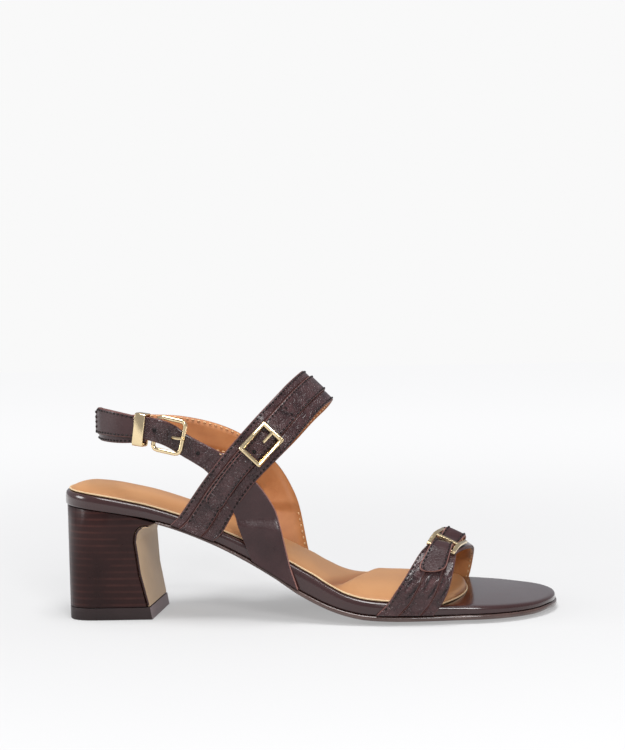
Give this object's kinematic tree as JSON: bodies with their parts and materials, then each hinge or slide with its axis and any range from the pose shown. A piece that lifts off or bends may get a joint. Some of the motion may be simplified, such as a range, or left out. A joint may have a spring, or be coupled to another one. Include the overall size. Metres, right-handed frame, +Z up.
{
  "type": "block heel sandal",
  "caption": "Right block heel sandal with a vamp strap, a crossed instep band and sling strap, and buckled strap ends on a padded insole.",
  "frame": {"origin": "centre of the heel lift's bottom face", "axes": "+X along the shoe toward the toe, +Y toward the inner side of the foot, +Z up"},
  "size_m": [0.2326, 0.0877, 0.1139],
  "materials": {
    "dark_leather": "smooth dark brown leather with a soft gloss",
    "tan_leather": "soft tan sock leather",
    "sole_leather": "taupe brown sole, satin",
    "stacked_leather": "stacked leather layers, very dark brown",
    "cover_leather": "matt tan leather",
    "lift_rubber": "dark grey brown rubber",
    "gold_metal": "pale gold, polished"
  },
  "bodies": {
    "root": {"band_buckle": "gold_metal", "band_prong": "gold_metal", "band_tab": "dark_leather", "heel_block": "stacked_leather", "heel_breast_cover": "cover_leather", "heel_lift": "lift_rubber", "insole": "tan_leather", "outsole": "sole_leather", "platform": "dark_leather", "rear_upper": "dark_leather", "sling_buckle": "gold_metal", "sling_keeper": "gold_metal", "sling_prong": "gold_metal", "vamp_buckle": "gold_metal", "vamp_strap": "dark_leather", "vamp_tab": "dark_leather"}
  },
  "joints": []
}
